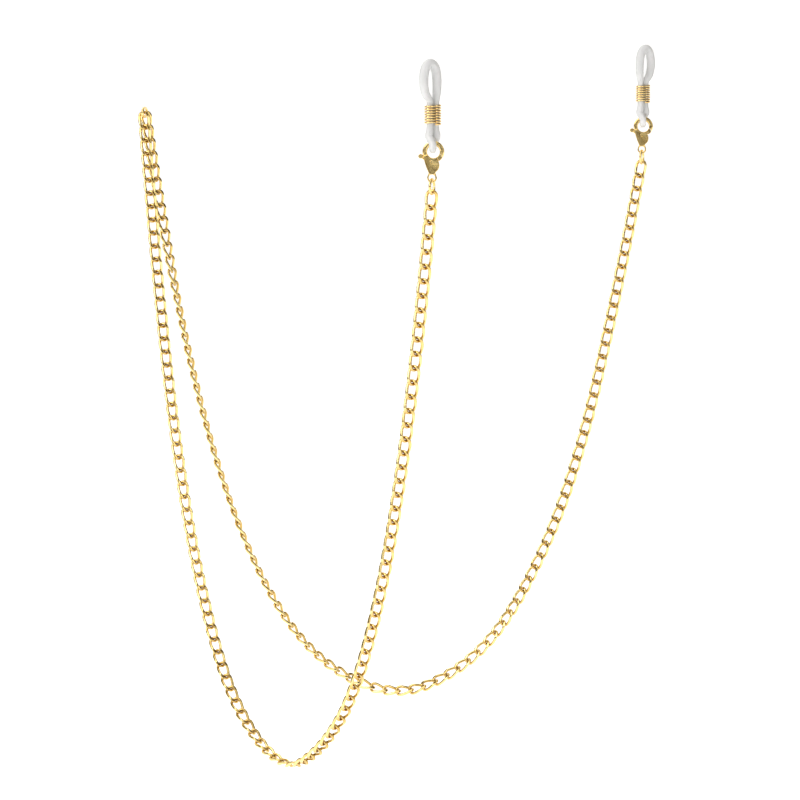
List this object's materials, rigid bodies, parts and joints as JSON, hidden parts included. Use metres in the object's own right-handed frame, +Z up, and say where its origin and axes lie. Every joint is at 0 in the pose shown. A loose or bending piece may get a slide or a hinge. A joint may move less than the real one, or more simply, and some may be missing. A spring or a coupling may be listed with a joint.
{
  "type": "eyeglasses chain strap",
  "caption": "Gold curb-chain eyeglasses strap with a clear silicone temple loop, sliding coil and sprung clasp at each end, hanging in a double bight.",
  "frame": {"origin": "centre of the near silicone loop's temple opening", "axes": "+Z up, +Y along the near glasses temple that the loop holds (towards the ear tip), +X from the near temple towards the far one"},
  "size_m": [0.1027, 0.1193, 0.1674],
  "materials": {
    "silicone": "translucent satin",
    "gold_chain": "polished",
    "gold_coil": "polished",
    "gold_fittings": "polished"
  },
  "bodies": {
    "held": {"near_silicone_loop": "silicone", "far_silicone_loop": "silicone", "middle_link": "gold_chain"},
    "near_slider": {"near_coil_slider": "gold_coil"},
    "near_clasp": {"near_clasp_body": "gold_fittings", "near_clasp_rivet": "gold_fittings", "near_clasp_spring": "gold_fittings"},
    "near_lever": {"near_clasp_lever": "gold_fittings"},
    "near_strand": {"near_jump_ring": "gold_fittings", "near_chain_01": "gold_chain", "near_chain_02": "gold_chain", "near_chain_03": "gold_chain", "near_chain_04": "gold_chain", "near_chain_05": "gold_chain", "near_chain_06": "gold_chain", "near_chain_07": "gold_chain", "near_chain_08": "gold_chain", "near_chain_09": "gold_chain", "near_chain_10": "gold_chain"},
    "far_slider": {"far_coil_slider": "gold_coil"},
    "far_clasp": {"far_clasp_body": "gold_fittings", "far_clasp_rivet": "gold_fittings", "far_clasp_spring": "gold_fittings"},
    "far_lever": {"far_clasp_lever": "gold_fittings"},
    "far_strand": {"far_jump_ring": "gold_fittings", "far_chain_01": "gold_chain", "far_chain_02": "gold_chain", "far_chain_03": "gold_chain", "far_chain_04": "gold_chain", "far_chain_05": "gold_chain", "far_chain_06": "gold_chain", "far_chain_07": "gold_chain", "far_chain_08": "gold_chain", "far_chain_09": "gold_chain", "far_chain_10": "gold_chain"}
  },
  "joints": [
    {"name": "near_coil_slide", "type": "slide", "parent": "held", "child": "near_slider", "axis": [0, 0, 1], "range_m": [-0.0005, 0.0005]},
    {"name": "near_clasp_swing", "type": "hinge", "parent": "held", "child": "near_clasp", "pos_m": [0.0007, 0, -0.01325], "axis": [-0.0061, 0.9992, 0.0395], "range_deg": [-1, 5]},
    {"name": "near_lever_pivot", "type": "hinge", "parent": "near_clasp", "child": "near_lever", "pos_m": [0.00051, 0.00016, -0.0173], "axis": [-0.6428, -0.766, 0], "range_deg": [0, 16], "stiffness_Nm_per_rad": 0.0005, "springref_deg": -8.59},
    {"name": "near_strand_swing", "type": "hinge", "parent": "near_clasp", "child": "near_strand", "pos_m": [0.00059, 0.0001, -0.02094], "axis": [-0.0051, 0.9944, 0.1059], "range_deg": [-2, 8]},
    {"name": "far_coil_slide", "type": "slide", "parent": "held", "child": "far_slider", "axis": [0, 0, 1], "range_m": [-0.0005, 0.0005]},
    {"name": "far_clasp_swing", "type": "hinge", "parent": "held", "child": "far_clasp", "pos_m": [0.0968, 0.042, -0.00985], "axis": [0.7886, -0.6149, -0.0095], "range_deg": [-1, 5]},
    {"name": "far_lever_pivot", "type": "hinge", "parent": "far_clasp", "child": "far_lever", "pos_m": [0.09661, 0.04216, -0.0139], "axis": [-0.6428, -0.766, 0], "range_deg": [0, 16], "stiffness_Nm_per_rad": 0.0005, "springref_deg": -8.59},
    {"name": "far_strand_swing", "type": "hinge", "parent": "far_clasp", "child": "far_strand", "pos_m": [0.09669, 0.0421, -0.01754], "axis": [0.7865, -0.6132, -0.073], "range_deg": [-2, 4]}
  ]
}
